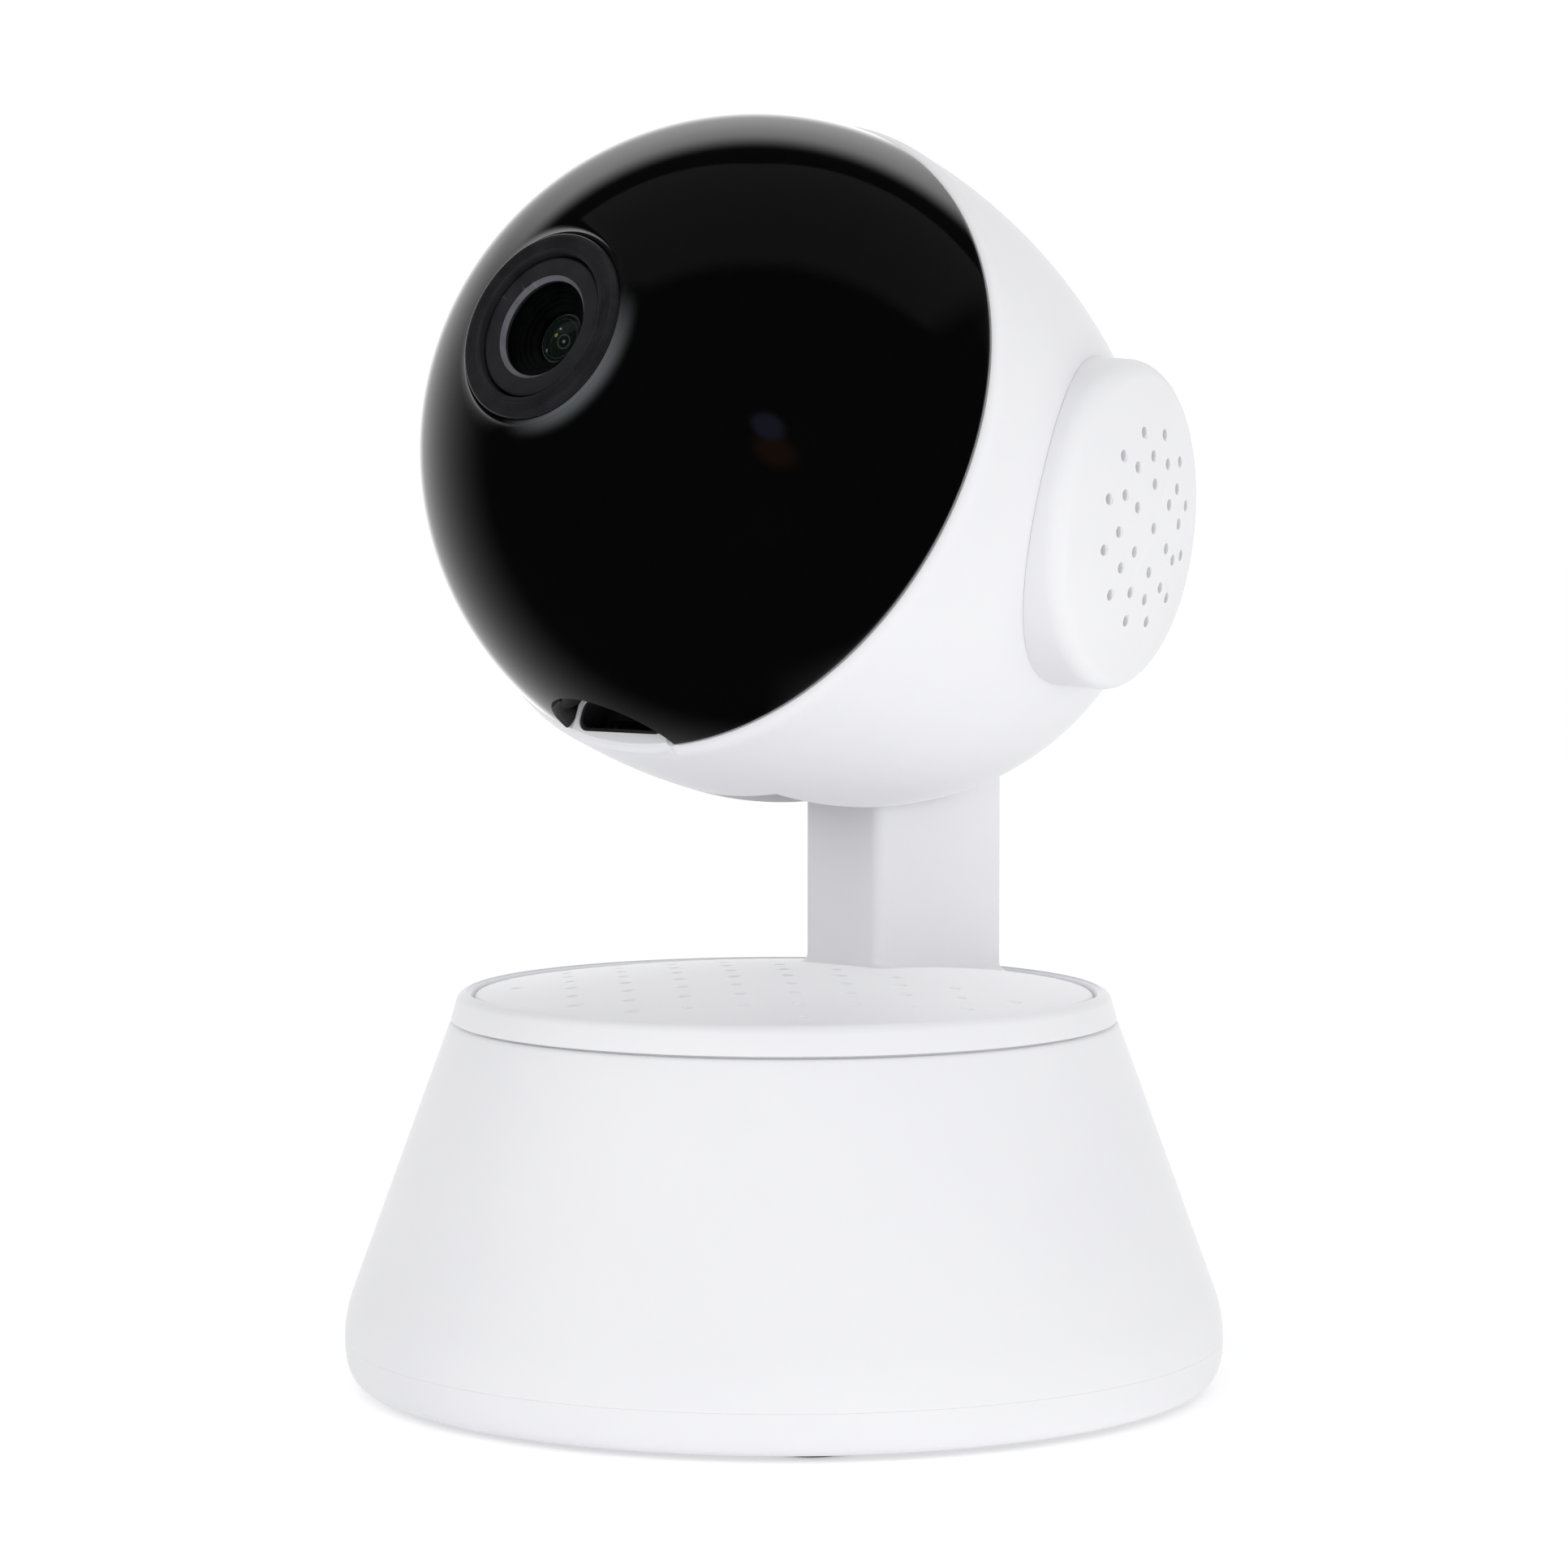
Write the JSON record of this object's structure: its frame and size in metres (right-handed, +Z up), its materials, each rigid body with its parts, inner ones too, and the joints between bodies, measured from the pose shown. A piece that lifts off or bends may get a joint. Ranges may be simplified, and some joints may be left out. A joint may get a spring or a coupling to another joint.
{
  "type": "pan and tilt security camera",
  "caption": "Indoor security camera: domed smoked front and lens on a tilting egg-shaped head, fin neck on a turntable, wide conical base.",
  "frame": {"origin": "centre of the plane the feet rest on, on the pan axis", "axes": "+Z up along the pan axis, the head looks along -Y at rest and is tilted up 21 degrees, +X is to the right of someone facing the lens"},
  "size_m": [0.1, 0.1, 0.1434],
  "materials": {
    "white_plastic": "satin white moulding",
    "foot_rubber": "matt",
    "steel": "plated",
    "brass": "turned",
    "iron": "blackened",
    "board": "solder mask",
    "chip_plastic": "moulded black",
    "grey_plastic": "satin",
    "gear_plastic": "natural acetal",
    "cable": "satin",
    "smoked_plastic": "polished, smoked black",
    "lens_black": "dark satin, turned",
    "lens_glass": "coated",
    "led": "clear window",
    "cone_paper": "pressed cone",
    "black_plastic": "satin black moulding"
  },
  "bodies": {
    "base": {"base_shell": "white_plastic", "rim_cap": "white_plastic", "bottom_cover": "white_plastic", "feet": "foot_rubber", "base_screws": "steel", "bracket_insert": "brass", "ballast": "iron", "base_board": "board", "board_parts": "chip_plastic", "power_socket": "steel", "reset_switch": "chip_plastic", "pan_motor": "steel", "pan_motor_screws": "steel"},
    "reset_button": {"reset_button": "grey_plastic"},
    "pinion": {"pan_pinion": "gear_plastic"},
    "turntable": {"turntable_disc": "white_plastic", "neck": "white_plastic", "neck_cover": "white_plastic", "neck_screws": "steel", "neck_cable": "cable", "pan_gear": "gear_plastic", "retaining_ring": "steel", "disc_screws": "steel", "tilt_shaft": "steel", "pivot_pin": "steel"},
    "head": {"front_shield": "smoked_plastic", "lens_bezel": "lens_black", "lens_ring": "lens_black", "lens_barrel": "lens_black", "front_glass": "lens_glass", "rear_glass": "lens_glass", "lens_holder": "chip_plastic", "sensor_board": "board", "image_sensor": "chip_plastic", "led_board": "board", "infrared_leds": "led", "light_sensor": "led", "rear_shell": "white_plastic", "card_frame": "black_plastic", "card_socket": "steel", "ear_cap_right": "white_plastic", "ear_cap_left": "white_plastic", "speaker_frame": "steel", "speaker_cone": "cone_paper", "microphone": "steel", "head_chassis": "black_plastic", "head_screws": "steel", "main_board": "board", "shield_can": "steel", "board_chips": "chip_plastic", "aerial": "board", "tilt_motor": "steel", "tilt_motor_screws": "steel"}
  },
  "joints": [
    {"name": "pan", "type": "hinge", "parent": "base", "child": "turntable", "pos_m": [0, 0, 0.0399], "axis": [0, 0, 1], "range_deg": [-177.5, 177.5]},
    {"name": "pinion_spin", "type": "hinge", "parent": "base", "child": "pinion", "pos_m": [0, -0.02525, 0.0412], "axis": [0, 0, 1], "range_deg": [-890, 890]},
    {"name": "tilt", "type": "hinge", "parent": "turntable", "child": "head", "pos_m": [0, 0.01798, 0.09686], "axis": [-1, 0, 0], "range_deg": [-28, 62]},
    {"name": "reset_press", "type": "slide", "parent": "base", "child": "reset_button", "axis": [0, -1, 0], "range_m": [0, 0.0005], "stiffness_N_per_m": 400, "springref_m": -0.001}
  ],
  "couplings": [
    {"joint": "pinion_spin", "follows": "pan", "ratio": -5}
  ]
}
